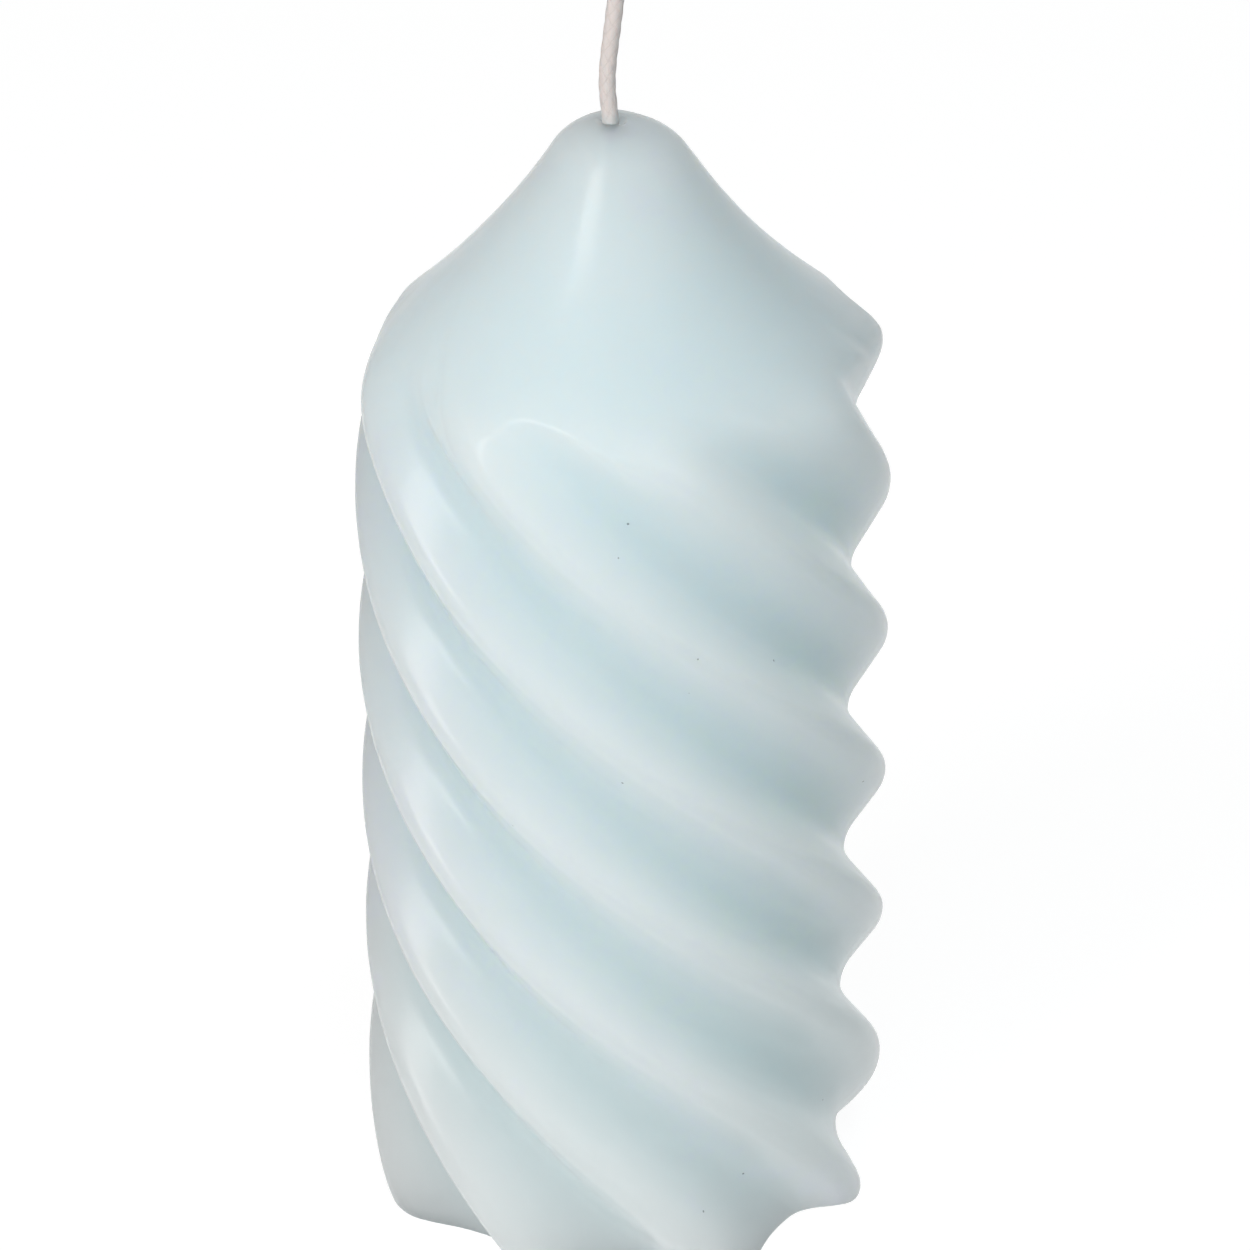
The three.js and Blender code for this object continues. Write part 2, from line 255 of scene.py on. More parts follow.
cone_radius, cone_height, cone_run = cone_outline()
around = np.arange(RIDGE_COUNT * RIDGE_POINTS) / RIDGE_POINTS
ridge_angle = 2 * math.pi / RIDGE_COUNT


def ring_at(centre, radius, z):
    """A ring with its points on the lines that the crests and grooves follow at that height."""
    azimuth = groove_azimuth(np.mean(z)) + around * ridge_angle
    x = centre[0] + radius * np.cos(azimuth)
    y = centre[1] + radius * np.sin(azimuth)
    return np.stack([x, y, np.broadcast_to(z, x.shape)], -1)


def tip_sag(x, y):
    to_right = smooth_step((x - SAG_FROM) / SAG_FULL_OVER)
    return TIP_SAG * to_right * smooth_step((SAG_RADIUS - np.hypot(x, y)) / SAG_FADES_OVER)


def tip_height(x, y):
    from_axis = np.hypot(x - TIP_LEAN * smooth_step(np.hypot(x, y) / AXIS_CENTRED_FROM), y)
    return np.interp(from_axis, cone_radius[1:-1], cone_height[1:-1]) - tip_sag(x, y)


rings = []
dimple_middle = np.array([DIMPLE_DRIFT, 0])
wick_foot = wick_middle([WAX_HEIGHT])[0, :2]
azimuth_at_tip = groove_azimuth(WAX_HEIGHT) + around * ridge_angle
away = np.stack([np.cos(azimuth_at_tip), np.sin(azimuth_at_tip)], 1) @ (dimple_middle - wick_foot)
away /= np.linalg.norm(dimple_middle - wick_foot)
dimple = DIMPLE_DEPTH * smooth_step(DIMPLE_AT_SIDES + (1 - DIMPLE_AT_SIDES) * away)
rim = ring_at(dimple_middle, DIMPLE_RADIUS, WAX_HEIGHT)
rim_height = tip_height(rim[:, 0], rim[:, 1])

# Up the wick's side, out of the dimple and over the tip
held_radius = WICK_RADIUS + WICK_CLEARANCE
dimple_floor = WAX_HEIGHT - DIMPLE_DEPTH
held_from = dimple_floor - WAXED_IN_DEPTH
for middle in wick_middle(np.linspace(held_from, dimple_floor - DIMPLE_CORNER, HELD_RINGS)):
    rings.append(ring_at(middle[:2], held_radius, middle[2]))
for share in np.linspace(0, 1, DIMPLE_RINGS + 1)[:-1]:
    middle = wick_foot + (dimple_middle - wick_foot) * share
    level = rim_height - dimple * (1 - smooth_step(share))
    rings.append(ring_at(middle, held_radius + (DIMPLE_RADIUS - held_radius) * share, level))
for share in np.linspace(0, 1, TIP_RINGS + 1)[:-1]:
    middle = dimple_middle + (np.array([TIP_LEAN, 0]) - dimple_middle) * smooth_step(share)
    ring = ring_at(middle, DIMPLE_RADIUS + (AXIS_CENTRED_FROM - DIMPLE_RADIUS) * share, WAX_HEIGHT)
    ring[:, 2] = tip_height(ring[:, 0], ring[:, 1])
    rings.append(ring)

# Down the cone, with close rings where it meets the grooves
rim_run = np.interp(CREST_RADIUS, cone_radius[1:], cone_run[1:])
edge_run = np.interp(CREST_RADIUS - CLOSE_FROM * RIDGE_HEIGHT_AT_TIP, cone_radius[1:], cone_run[1:])
start_run = np.interp(AXIS_CENTRED_FROM, cone_radius[1:], cone_run[1:])
coarse_runs = np.arange(start_run, edge_run, CONE_RING_STEP)
close_runs = np.linspace(edge_run, rim_run + BLEND_PAST_RIM, CLOSE_RINGS)
for run in np.concatenate([coarse_runs, close_runs]):
    z = np.interp(run, cone_run, cone_height)
    cone = np.interp(run, cone_run, cone_radius)
    lean = TIP_LEAN * smooth_step((z - WAX_HEIGHT + LEAN_REACHES_DOWN) / LEAN_FULL_OVER)
    ring = ring_at((lean, 0), softer_of(cone, ridged_radius(around, z), edge_softness(around)), z)
    ring[:, 2] -= tip_sag(ring[:, 0], ring[:, 1])
    rings.append(ring)

# Down the ridges and round the foot
blend_end = z
for z in np.linspace(blend_end, FOOT_ROUNDING_HEIGHT, RIDGE_RINGS)[1:]:
    rings.append(ring_at((0, 0), ridged_radius(around, z), z))
for angle in np.linspace(math.pi / 2, 0, FOOT_ROUNDING_RINGS + 1)[1:]:
    z = FOOT_ROUNDING_HEIGHT * (1 - math.cos(angle))
    inset = FOOT_ROUNDING * (1 - math.sin(angle))
    rings.append(ring_at((0, 0), ridged_radius(around, z) - inset, z))
foot_rim = ridged_radius(around, 0) - FOOT_ROUNDING
for share in np.linspace(0, 1, UNDERSIDE_RINGS + 1)[1:]:
    rings.append(ring_at((0, 0), foot_rim + (RECESS_RADIUS + RECESS_EDGE - foot_rim) * share, 0))
for angle in np.linspace(0, math.pi / 2, RECESS_EDGE_RINGS + 1)[1:]:
    rings.append(ring_at((0, 0), RECESS_RADIUS + RECESS_EDGE * (1 - math.sin(angle)),
                         RECESS_EDGE * (1 - math.cos(angle))))
for radius in (RECESS_RADIUS, RECESS_RADIUS - RECESS_EDGE, PIN_HOLE_RADIUS + HOLE_MOUTH_WIDTH):
    rings.append(ring_at((0, 0), radius, RECESS_DEPTH))

# Up the hole that the pin left, which leans with it, to where the wax ran in round the wick
for z in np.linspace(RECESS_DEPTH + HOLE_MOUTH_HEIGHT, held_from - WAXED_IN_END, HOLE_RINGS):
    rings.append(ring_at((PIN_DRIFT * z / WAX_HEIGHT, 0), PIN_HOLE_RADIUS, z))

# The waves leave out the foot and the middle of the tip
rings = np.array(rings)
from_axis = np.hypot(rings[..., 0], rings[..., 1])
on_side = smooth_step((rings[..., 2] - WAVES_FROM_HEIGHT) / WAVES_FULL_OVER_HEIGHT)
on_side *= smooth_step((from_axis - WAVES_FROM_RADIUS) / WAVES_FULL_OVER_RADIUS)
outward = rings.copy()
outward[..., 2] = 0
outward /= np.linalg.norm(outward, axis=-1, keepdims=True)
for seed, (wave_length, depth) in enumerate(WAVES):
    sunk = depth * skin_waves(rings, wave_length, seed) * on_side
    rings -= outward * sunk[..., None]

wax_pillar = ring_mesh("wax_pillar", rings, closed_loop=True)
wax_pillar.data.set_sharp_from_angle(angle=SHARP_EDGE)
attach(wax_pillar, "root")
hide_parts("wax_body")


def shader_node(tree, kind, sockets=(), **settings):
    """A node whose sockets are set by name or number, to a value or from another node's output."""
    node = tree.nodes.new(kind)
    for name, value in settings.items():
        setattr(node, name, value)
    for socket, value in dict(sockets).items():
        if isinstance(value, bpy.types.NodeSocket):
            tree.links.new(value, node.inputs[socket])
        else:
            node.inputs[socket].default_value = value
    return node


def calculated(tree, operation, first, second):
    return shader_node(tree, "ShaderNodeMath", {0: first, 1: second}, operation=operation).outputs[0]


def mapped(tree, value, from_low, from_high, to_low, to_high):
    sockets = {"Value": value, "From Min": from_low, "From Max": from_high}
    sockets.update({"To Min": to_low, "To Max": to_high})
    return shader_node(tree, "ShaderNodeMapRange", sockets, clamp=True).outputs["Result"]


def mixed_colour(tree, share, below, above):
    """A mix of two colours, which a Mix node takes at its inputs 6 and 7 and gives at its output 2."""
    sockets = {0: share, 6: below, 7: above}
    return shader_node(tree, "ShaderNodeMix", sockets, data_type="RGBA").outputs[2]


def new_material(name, piece):
    material = bpy.data.materials.new(name)
    material.use_nodes = True
    material.node_tree.nodes.clear()
    piece.data.materials.append(material)
    return material.node_tree


# Paraffin sets with the same milky cloud and fine skin on the pillar, on the wick and on the tin
NOISE_RANGE = (0.3, 0.7)  # which a noise texture seldom leaves


def paraffin_group():
    group = bpy.data.node_groups.new("paraffin_skin", "ShaderNodeTree")
    for name in ("Cloud Size", "Grain Size"):
        group.interface.new_socket(name, in_out="INPUT", socket_type="NodeSocketFloat")
    for name in ("Cloud", "Grain"):
        group.interface.new_socket(name, in_out="OUTPUT", socket_type="NodeSocketFloat")
    given = shader_node(group, "NodeGroupInput")
    place = shader_node(group, "ShaderNodeTexCoord").outputs["Object"]
    cloud_scale = calculated(group, "DIVIDE", 1, given.outputs["Cloud Size"])
    grain_scale = calculated(group, "DIVIDE", 1, given.outputs["Grain Size"])
    cloud = shader_node(group, "ShaderNodeTexNoise",
                        {"Vector": place, "Scale": cloud_scale, "Detail": 3.0, "Roughness": 0.55})
    grain = shader_node(group, "ShaderNodeTexNoise",
                        {"Vector": place, "Scale": grain_scale, "Detail": 4.0, "Roughness": 0.6})
    spread_cloud = mapped(group, cloud.outputs["Fac"], *NOISE_RANGE, 0, 1)
    shader_node(group, "NodeGroupOutput", {"Cloud": spread_cloud, "Grain": grain.outputs["Fac"]})
    return group


paraffin_skin = paraffin_group()


def paraffin_on(tree, cloud_size, grain_size):
    sizes = {"Cloud Size": cloud_size, "Grain Size": grain_size}
    node = shader_node(tree, "ShaderNodeGroup", sizes, node_tree=paraffin_skin)
    return node.outputs["Cloud"], node.outputs["Grain"]


# The dye settles a little while the wax sets, and the tip lies at the bottom of the mould
WAX_AT_FOOT = (0.683, 0.806, 0.834, 1)
WAX_AT_TIP = (0.655, 0.815, 0.868, 1)
WAX_MILKY = (0.737, 0.842, 0.890, 1)
# The pits are coloured dark with dust and with painted shade, which stands in for the shadow inside them
PIT_DUST_AND_SHADE = (0.20, 0.26, 0.28, 1)
PIT_SPACING = 0.0090
PIT_RADIUS = 0.00020
PIT_DEPTH = 0.00015
SKIN_DEPTH = 0.000012
MILKY_SHARE = 0.3  # where the wax is cloudiest
WAX_ROUGHNESS = (0.19, 0.23)  # from clear to cloudy
WAX_GRAIN_ROUGHNESS = 0.05  # what the grain adds
SETTLED_FROM, SETTLED_TO = 0.02, 0.13  # the heights between which the tint changes

tree = new_material("ice_blue_paraffin", wax_pillar)
cloud, grain = paraffin_on(tree, cloud_size=0.022, grain_size=0.0011)
place = shader_node(tree, "ShaderNodeTexCoord").outputs["Object"]
bubbles = shader_node(tree, "ShaderNodeTexVoronoi", {"Vector": place, "Scale": 1 / PIT_SPACING}, feature="F1")
pit_size = PIT_RADIUS / PIT_SPACING
pit = mapped(tree, bubbles.outputs["Distance"], 0.5 * pit_size, pit_size, 1, 0)
level = shader_node(tree, "ShaderNodeSeparateXYZ", {"Vector": place}).outputs["Z"]
settled = mapped(tree, level, SETTLED_FROM, SETTLED_TO, 0, 1)
wax_colour = mixed_colour(tree, settled, WAX_AT_FOOT, WAX_AT_TIP)
wax_colour = mixed_colour(tree, mapped(tree, cloud, 0, 1, 0, MILKY_SHARE), wax_colour, WAX_MILKY)
roughness = calculated(tree, "ADD", mapped(tree, cloud, 0, 1, *WAX_ROUGHNESS),
                       mapped(tree, grain, 0, 1, 0, WAX_GRAIN_ROUGHNESS))
height = calculated(tree, "SUBTRACT", calculated(tree, "MULTIPLY", grain, SKIN_DEPTH),
                    calculated(tree, "MULTIPLY", pit, PIT_DEPTH))
bump = shader_node(tree, "ShaderNodeBump", {"Height": height, "Distance": 1.0, "Strength": 1.0})
paraffin = shader_node(tree, "ShaderNodeBsdfPrincipled", {
    # Dust and painted shade darken the pits' colour
    "Base Color": mixed_colour(tree, pit, wax_colour, PIT_DUST_AND_SHADE),
    "Roughness": roughness,
    "IOR": 1.44,
    "Specular IOR Level": 0.35,
    "Subsurface Weight": 1.0,
    "Subsurface Radius": (0.45, 0.85, 1.0),
    "Subsurface Scale": 0.060,
    "Normal": bump.outputs["Normal"],
}, subsurface_method="RANDOM_WALK_SKIN")
shader_node(tree, "ShaderNodeOutputMaterial", {"Surface": paraffin.outputs["BSDF"]})


# Wick: eight strands of bleached cotton braided over and under each other, primed in clear wax so that it
# stands. It is cut from a roll, stands in the sustainer's neck and leans on the mouth of its hole.
STRANDS_EACH_WAY = 4
STRAND_ADVANCE = 0.0024  # how far up the wick a strand moves while it goes one quarter round
STRAND_RISE = 0.45  # of its thickness: how far it rises over one strand and dips under the next
STRAND_CROWN = 1.86  # 2 would take a strand's round back right down to its edges
BRAID_DEPTH = 0.00011
END_ROUNDING = 0.00025
END_NARROWING = 0.00012
WICK_POINTS = 96
LOWEST_CUT, HIGHEST_CUT = 0.0001, 0.0004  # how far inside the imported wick's ends its middle is looked up
CUT_SHORT = 0.0003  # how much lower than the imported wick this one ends, at least
HIDDEN_CUTS, FREE_CUTS = 60, 24
HIDDEN_RINGS = 200
FREE_RING_STEP = 0.00008
SMOOTHING_PASSES = 60
wick_low, wick_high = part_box("wick")

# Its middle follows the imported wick, with the corners between that one's short straight parts smoothed out
lowest = wick_low.z + LOWEST_CUT
hidden_levels = np.linspace(lowest, held_from, HIDDEN_CUTS)
free_levels = np.linspace(held_from, wick_high.z - HIGHEST_CUT, FREE_CUTS)[1:]
knots = wick_middle(np.concatenate([hidden_levels, free_levels]))
fine_z = np.concatenate([np.linspace(lowest, held_from, HIDDEN_RINGS),
                         np.arange(held_from, wick_high.z - CUT_SHORT, FREE_RING_STEP)[1:]])
middle_line = np.stack([np.interp(fine_z, knots[:, 2], knots[:, 0]),
                        np.interp(fine_z, knots[:, 2], knots[:, 1]), fine_z], 1)
free_part = middle_line[HIDDEN_RINGS:, :2]
for _ in range(SMOOTHING_PASSES):
    free_part[1:-1] = (free_part[:-2] + 2 * free_part[1:-1] + free_part[2:]) / 4
along = np.gradient(middle_line, axis=0)
along /= np.linalg.norm(along, axis=1, keepdims=True)
to_right = np.array([1.0, 0, 0]) - along * along[:, :1]
to_right /= np.linalg.norm(to_right, axis=1, keepdims=True)
to_back = np.cross(along, to_right)
run = np.concatenate([[0], np.cumsum(np.linalg.norm(np.diff(middle_line, axis=0), axis=1))])

turn = np.arange(WICK_POINTS) / WICK_POINTS * STRANDS_EACH_WAY
up_right = turn[None] + run[:, None] / STRAND_ADVANCE
up_left = turn[None] - run[:, None] / STRAND_ADVANCE
across_right = up_right % 1 - 0.5
across_left = up_left % 1 - 0.5
right_on_top = np.where((np.floor(up_right) + np.floor(up_left)) % 2 == 0, 1, -1)


def strand_height(across, lengthways, on_top):
    return STRAND_RISE * on_top * np.cos(math.pi * lengthways) + np.sqrt(1 - (STRAND_CROWN * across) ** 2)


right_height = strand_height(across_right, across_left, right_on_top)
left_height = strand_height(across_left, across_right, -right_on_top)
braid = np.maximum(right_height, left_height) / (1 + STRAND_RISE)
across_strand = np.where(right_height > left_height, across_right, across_left)
taper = np.sqrt(np.clip(1 - (1 - np.clip((run[-1] - run) / END_ROUNDING, 0, 1)) ** 2, 0, 1))
wick_radius = WICK_RADIUS - BRAID_DEPTH * (1 - braid) - END_NARROWING * (1 - taper[:, None])
azimuth = turn * 2 * math.pi / STRANDS_EACH_WAY
wick_rings = (middle_line[:, None]
              + to_right[:, None] * (wick_radius * np.cos(azimuth))[..., None]
              + to_back[:, None] * (wick_radius * np.sin(azimuth))[..., None])
wick_piece = ring_mesh("braided_wick", wick_rings[::-1], closed_loop=False)
strand = wick_piece.data.attributes.new("across_strand", "FLOAT", "POINT")
strand.data.foreach_set("value", across_strand[::-1].ravel().astype(np.float32))
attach(wick_piece, "root")
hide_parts("wick")

COTTON = (0.800, 0.742, 0.722, 1)
# Painted shade: the cotton is coloured darker towards the seams between strands, where shade falls in them
COTTON_SHADED_IN_SEAMS = (0.73, 0.665, 0.645, 1)
WAXED_COTTON = (0.72, 0.735, 0.735, 1)
WAXED_SHARE = 0.85
WAX_CLIMB = 0.0016  # how far the pillar's wax has run up the wick
FIBRES_ACROSS_STRAND = 7
FIBRE_DEPTH = 0.000012
COTTON_GRAIN_DEPTH = 0.00005
COTTON_ROUGHNESS = (0.5, 0.68)  # from clear wax to cloudy
SEAM_SHADE_FROM = 0.32  # from a strand's middle; its edge is at 0.5

tree = new_material("primed_cotton", wick_piece)
cloud, grain = paraffin_on(tree, cloud_size=0.003, grain_size=0.0005)
across = shader_node(tree, "ShaderNodeAttribute", attribute_name="across_strand").outputs["Fac"]
# Painted shade, darker from partway across a strand to its edge, where it dips into the seam
seam_shade = mapped(tree, calculated(tree, "ABSOLUTE", across, 0), SEAM_SHADE_FROM, 0.5, 0, 1)
fibre = calculated(tree, "SINE", calculated(tree, "MULTIPLY", across, 2 * math.pi * FIBRES_ACROSS_STRAND), 0)
place = shader_node(tree, "ShaderNodeTexCoord").outputs["Object"]
level = shader_node(tree, "ShaderNodeSeparateXYZ", {"Vector": place}).outputs["Z"]
waxed = mapped(tree, level, WAX_HEIGHT, WAX_HEIGHT + WAX_CLIMB, 1, 0)
cotton = mixed_colour(tree, seam_shade, COTTON, COTTON_SHADED_IN_SEAMS)
cotton = mixed_colour(tree, calculated(tree, "MULTIPLY", waxed, WAXED_SHARE), cotton, WAXED_COTTON)
height = calculated(tree, "ADD", calculated(tree, "MULTIPLY", fibre, FIBRE_DEPTH),
                    calculated(tree, "MULTIPLY", grain, COTTON_GRAIN_DEPTH))
bump = shader_node(tree, "ShaderNodeBump", {"Height": height, "Distance": 1.0, "Strength": 0.8})
braided = shader_node(tree, "ShaderNodeBsdfPrincipled", {
    "Base Color": cotton,
    "Roughness": mapped(tree, cloud, 0, 1, *COTTON_ROUGHNESS),
    "IOR": 1.44,
    "Subsurface Weight": 0.6,
    "Subsurface Radius": (1.0, 0.8, 0.7),
    "Subsurface Scale": 0.0005,
    "Normal": bump.outputs["Normal"],
})
shader_node(tree, "ShaderNodeOutputMaterial", {"Surface": braided.outputs["BSDF"]})


# Sustainer: one disc of thin tinplate, drawn up in the middle into a neck and pressed with a stiffening ring.
# The neck is pinched on to the wick in four places, and a dab of melted wax holds the disc in its recess.
sheet_low, sheet_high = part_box("wick_sustainer")
SHEET = 0.0003
DISC_RADIUS = (sheet_high.x - sheet_low.x) / 2
DISC_LIFT = sheet_low.z
RIB_RADIUS = 0.0052
RIB_WIDTH = 0.0024
RIB_HEIGHT = 0.0005
NECK_BORE = 0.0014
NECK_BEND = 0.0006
PINCH_COUNT = 4
PINCH_DEPTH = 0.00022
PINCH_FULL_OVER = 0.0015  # up the neck
DISC_POINTS = 128
# Points along each stretch of its section
MOUTH_POINTS, OUTWARD_POINTS, EDGE_POINTS, BEND_POINTS, NECK_POINTS = 5, 44, 8, 7, 16


def rib_rise(radius):
    off = np.clip(np.abs(radius - RIB_RADIUS) / (RIB_WIDTH / 2), 0, 1)
    return RIB_HEIGHT * np.cos(off * math.pi / 2) ** 2


out_along = np.linspace(NECK_BORE + 2 * SHEET, DISC_RADIUS - SHEET / 2, OUTWARD_POINTS)
edge_angles = np.linspace(-math.pi / 2, math.pi / 2, EDGE_POINTS)[1:-1]
bend_angles = np.linspace(-math.pi / 2, -math.pi, BEND_POINTS)
disc_top = DISC_LIFT + SHEET
neck_side = np.linspace(disc_top + NECK_BEND, sheet_high.z, NECK_POINTS)
section = [(NECK_BORE + SHEET * (1 - math.sin(a)), DISC_LIFT + SHEET * (1 - math.cos(a)))
           for a in np.linspace(math.pi / 2, 0, MOUTH_POINTS)]
section += [(r, DISC_LIFT + rib_rise(r)) for r in out_along[1:]]
section += [(DISC_RADIUS - SHEET / 2 * (1 - math.cos(a)), DISC_LIFT + SHEET / 2 * (1 + math.sin(a)))
            for a in edge_angles]
section += [(r, disc_top + rib_rise(r)) for r in out_along[::-1] if r > NECK_BORE + SHEET + NECK_BEND]
section += [(NECK_BORE + SHEET + NECK_BEND * (1 + math.cos(a)), disc_top + NECK_BEND * (1 + math.sin(a)))
            for a in bend_angles]
section += [(NECK_BORE + SHEET, z) for z in neck_side[1:]]
section += [(NECK_BORE, z) for z in neck_side[::-1]]
section = np.array(section)
disc_azimuth = np.arange(DISC_POINTS) / DISC_POINTS * 2 * math.pi
in_neck = section[:, 0] < NECK_BORE + 2 * SHEET
pinched = smooth_step((section[:, 1] - disc_top - NECK_BEND) / PINCH_FULL_OVER) * in_neck
pinch = np.clip(np.cos(disc_azimuth * PINCH_COUNT), 0, 1) ** 2
disc_radius = section[:, :1] - PINCH_DEPTH * pinched[:, None] * pinch[None]
disc_rings = np.stack([disc_radius * np.cos(disc_azimuth), disc_radius * np.sin(disc_azimuth),
                       np.broadcast_to(section[:, 1:], disc_radius.shape)], -1)
sustainer = ring_mesh("pressed_sustainer", disc_rings, closed_loop=True)
sustainer.data.set_sharp_from_angle(angle=SHARP_EDGE)
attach(sustainer, "root")
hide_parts("wick_sustainer")

TINPLATE = (0.66, 0.67, 0.68, 1)
TIN_DULLED = (0.50, 0.51, 0.52, 1)
WAX_FILM = (0.62, 0.74, 0.77, 1)
FILM_FROM, FILM_FULL_FROM = 0.62, 0.72  # of the cloud: the film of wax covers what is denser
FILM_DEPTH = 0.00004
TIN_ROUGHNESS, FILM_ROUGHNESS = 0.28, 0.4
TIN_GRAIN_ROUGHNESS = 0.08  # what the grain adds
ROLL_MARK_DEPTH = 0.000003
ROLL_MARKS = (9000, 250, 250)  # to the metre, along each axis

tree = new_material("tinplate_with_wax", sustainer)
cloud, grain = paraffin_on(tree, cloud_size=0.004, grain_size=0.0006)
place = shader_node(tree, "ShaderNodeTexCoord").outputs["Object"]
drawn = shader_node(tree, "ShaderNodeMapping", {"Vector": place, "Scale": ROLL_MARKS}).outputs["Vector"]
rolled = shader_node(tree, "ShaderNodeTexNoise", {"Vector": drawn, "Scale": 1.0, "Detail": 2.0})
roll_marks = rolled.outputs["Fac"]
filmed = mapped(tree, cloud, FILM_FROM, FILM_FULL_FROM, 0, 1)
tin = mixed_colour(tree, roll_marks, TIN_DULLED, TINPLATE)
height = calculated(tree, "ADD", calculated(tree, "MULTIPLY", roll_marks, ROLL_MARK_DEPTH),
                    calculated(tree, "MULTIPLY", filmed, FILM_DEPTH))
bump = shader_node(tree, "ShaderNodeBump", {"Height": height, "Distance": 1.0, "Strength": 1.0})
metal = shader_node(tree, "ShaderNodeBsdfPrincipled", {
    "Base Color": mixed_colour(tree, filmed, tin, WAX_FILM),
    "Metallic": mapped(tree, filmed, 0, 1, 1, 0),
    "Roughness": calculated(tree, "ADD", mapped(tree, filmed, 0, 1, TIN_ROUGHNESS, FILM_ROUGHNESS),
                            mapped(tree, grain, *NOISE_RANGE, 0, TIN_GRAIN_ROUGHNESS)),
    "Normal": bump.outputs["Normal"],
})
shader_node(tree, "ShaderNodeOutputMaterial", {"Surface": metal.outputs["BSDF"]})


# Table: a plain sheet of white paper, laid flat under the candle and far past the picture's edges. It lights
# the candle as white paper does, and keeps the candle's soft shadow.
TABLE_REACH = 4.0
TABLE_WHITE = (0.80, 0.80, 0.80, 1)
TABLE_LIT = 0.12  # what it adds to the light on the candle, as paper under backdrop lamps does
# The camera and reflections see a darker paper, which keeps the shadow, and a glow that makes it white again
TABLE_SHOWN = (0.18, 0.18, 0.18, 1)
TABLE_GLOW = 0.92

table_mesh = bpy.data.meshes.new("table")
table_corners = [(x * TABLE_REACH, y * TABLE_REACH, 0) for x, y in ((-1, -1), (1, -1), (1, 1), (-1, 1))]
table_mesh.from_pydata(table_corners, [], [(0, 1, 2, 3)])
table = bpy.data.objects.new("table", table_mesh)
bpy.context.scene.collection.objects.link(table)


def seen_directly(tree):
    """1 where the camera, a reflection or a view through glass sees the surface, and 0 for its light."""
    path = shader_node(tree, "ShaderNodeLightPath").outputs
    either = calculated(tree, "MAXIMUM", path["Is Camera Ray"], path["Is Glossy Ray"])
    return calculated(tree, "MAXIMUM", either, path["Is Transmission Ray"])


tree = new_material("white_sheet", table)
paper = shader_node(tree, "ShaderNodeBsdfDiffuse", {"Color": TABLE_WHITE})
lit = shader_node(tree, "ShaderNodeEmission", {"Strength": TABLE_LIT})
paper = shader_node(tree, "ShaderNodeAddShader", {0: paper.outputs[0], 1: lit.outputs[0]})
shown = shader_node(tree, "ShaderNodeBsdfDiffuse", {"Color": TABLE_SHOWN})
glow = shader_node(tree, "ShaderNodeEmission", {"Strength": TABLE_GLOW})
shown = shader_node(tree, "ShaderNodeAddShader", {0: shown.outputs[0], 1: glow.outputs[0]})
surface = shader_node(tree, "ShaderNodeMixShader",
                      {0: seen_directly(tree), 1: paper.outputs[0], 2: shown.outputs[0]})
shader_node(tree, "ShaderNodeOutputMaterial", {"Surface": surface.outputs[0]})


# Studio: white walls all round, a tall softbox to the left in front that draws the streak on the cone, and
# broad ones behind thick diffusers that fill in without a reflection of their own
ROOM_LIGHT = 0.062
WHITE = (1, 1, 1, 1)
WARM = (1.0, 0.96, 0.935)
COOL = (0.89, 0.98, 1.0)
SOFTBOX_DISTANCE = 1.3
SOFTBOXES = (
    # name, azimuth from the front, elevation, width, height, watts, colour, whether it is reflected
    ("strip_left", -41, 33, 0.38, 0.85, 6.2, WARM, True),
    ("front_low", -15, 14, 0.95, 0.62, 3.4, WARM, False),
    ("front_high", -12, 52, 0.95, 0.62, 1.6, WARM, False),
    ("front_right", 40, 66, 0.95, 0.62, 5.4, COOL, False),
    ("right_back", 150, 45, 0.95, 0.62, 0.6, COOL, False),
)

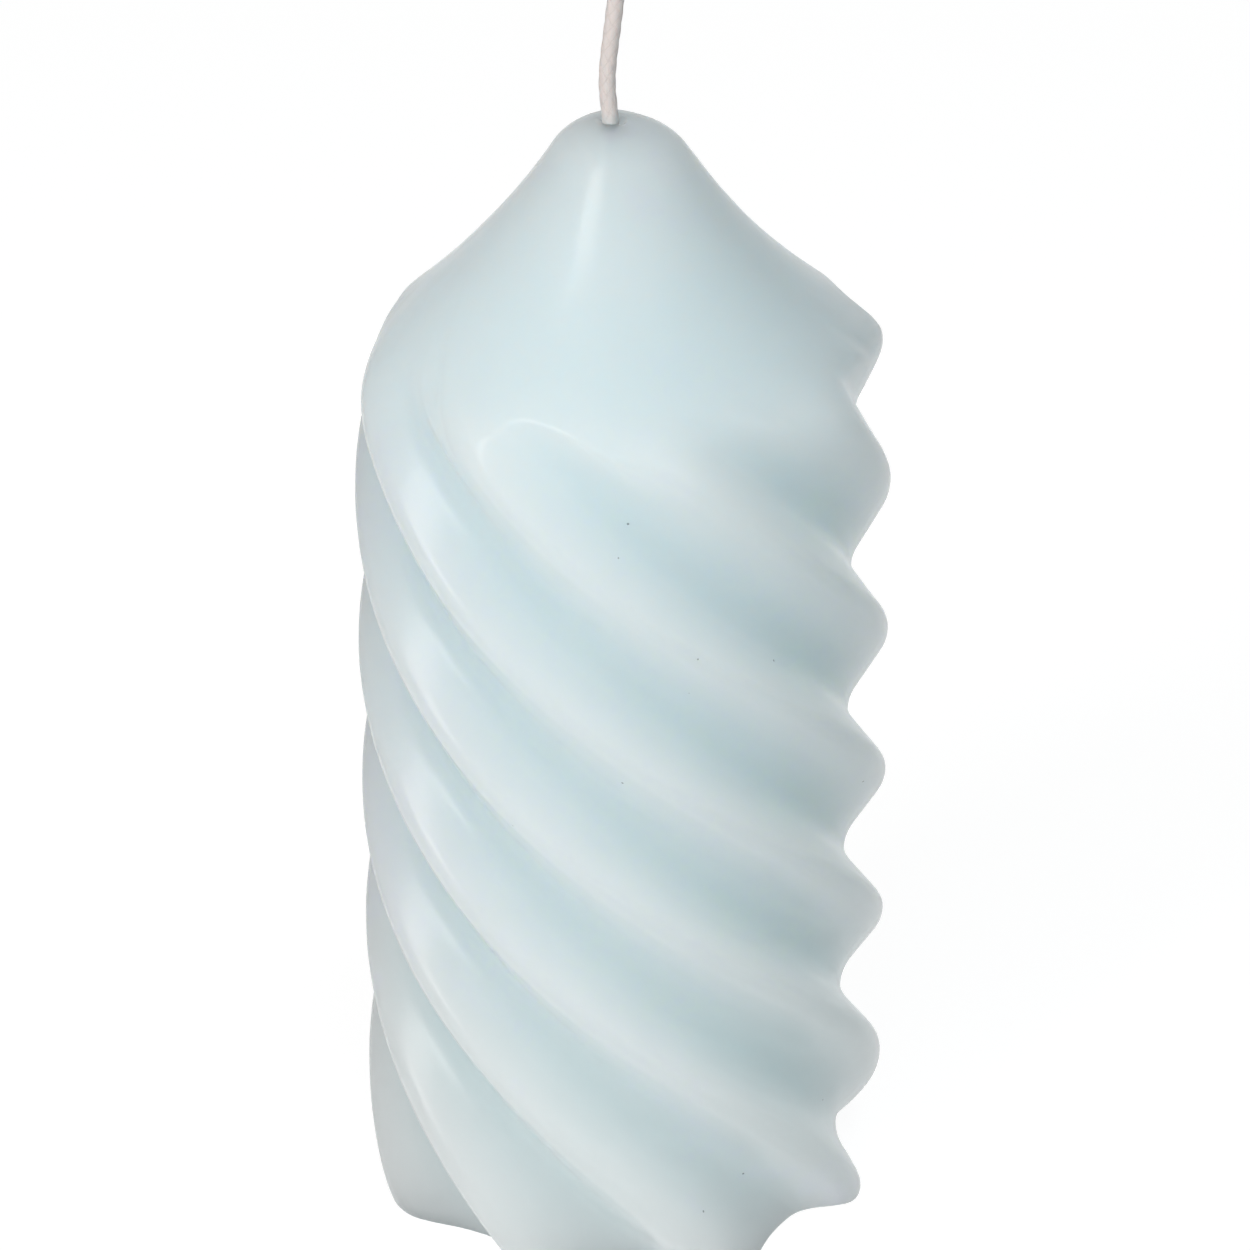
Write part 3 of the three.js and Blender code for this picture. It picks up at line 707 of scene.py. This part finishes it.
world = bpy.data.worlds.new("studio")
bpy.context.scene.world = world
world.use_nodes = True
tree = world.node_tree
tree.nodes.clear()
room = shader_node(tree, "ShaderNodeBackground", {"Color": WHITE, "Strength": ROOM_LIGHT})
white = shader_node(tree, "ShaderNodeBackground", {"Color": WHITE, "Strength": 1.0})
surroundings = shader_node(tree, "ShaderNodeMixShader",
                           {0: seen_directly(tree), 1: room.outputs[0], 2: white.outputs[0]})
shader_node(tree, "ShaderNodeOutputWorld", {"Surface": surroundings.outputs[0]})

aim = Vector((0, 0, WAX_HEIGHT / 2))
for name, azimuth, elevation, width, height, watts, colour, reflected in SOFTBOXES:
    azimuth, elevation = math.radians(azimuth), math.radians(elevation)
    lamp = bpy.data.lights.new(name, "AREA")
    lamp.shape = "RECTANGLE"
    lamp.size, lamp.size_y = width, height
    lamp.energy = watts
    lamp.color = colour
    softbox = bpy.data.objects.new(name, lamp)
    softbox.visible_glossy = reflected
    towards = Vector((math.sin(azimuth) * math.cos(elevation), -math.cos(azimuth) * math.cos(elevation),
                      math.sin(elevation)))
    softbox.location = aim + SOFTBOX_DISTANCE * towards
    softbox.rotation_mode = "QUATERNION"
    softbox.rotation_quaternion = towards.to_track_quat("Z", "Y")
    bpy.context.scene.collection.objects.link(softbox)


# Camera: on a stand in front of the candle and above it, with a long lens, looking down at its middle. From
# there the candle's outline and ridges lie as they do in the photograph.
CAMERA_DISTANCE = 0.8494
CAMERA_ELEVATION = math.radians(28.713)
CAMERA_PIVOT = Vector((0, 0, 0.075))
CAMERA_AIM = Vector((0.000246, 0, 0.08227))
CAMERA_ROLL = math.radians(-0.158)
PICTURE_PIXELS = 1250
LENS_PIXELS = 6408.6  # focal length in the picture's pixels

camera_data = bpy.data.cameras.new("camera")
camera_data.sensor_width = 36
camera_data.lens = camera_data.sensor_width * LENS_PIXELS / PICTURE_PIXELS
camera = bpy.data.objects.new("camera", camera_data)
back = Vector((0, -math.cos(CAMERA_ELEVATION), math.sin(CAMERA_ELEVATION)))
camera.location = CAMERA_PIVOT + CAMERA_DISTANCE * back
camera.rotation_mode = "QUATERNION"
looking = (CAMERA_AIM - camera.location).to_track_quat("-Z", "Y")
camera.rotation_quaternion = looking @ Matrix.Rotation(CAMERA_ROLL, 3, "Z").to_quaternion()
bpy.context.scene.collection.objects.link(camera)
bpy.context.scene.camera = camera
bpy.context.scene.view_settings.view_transform = "Standard"
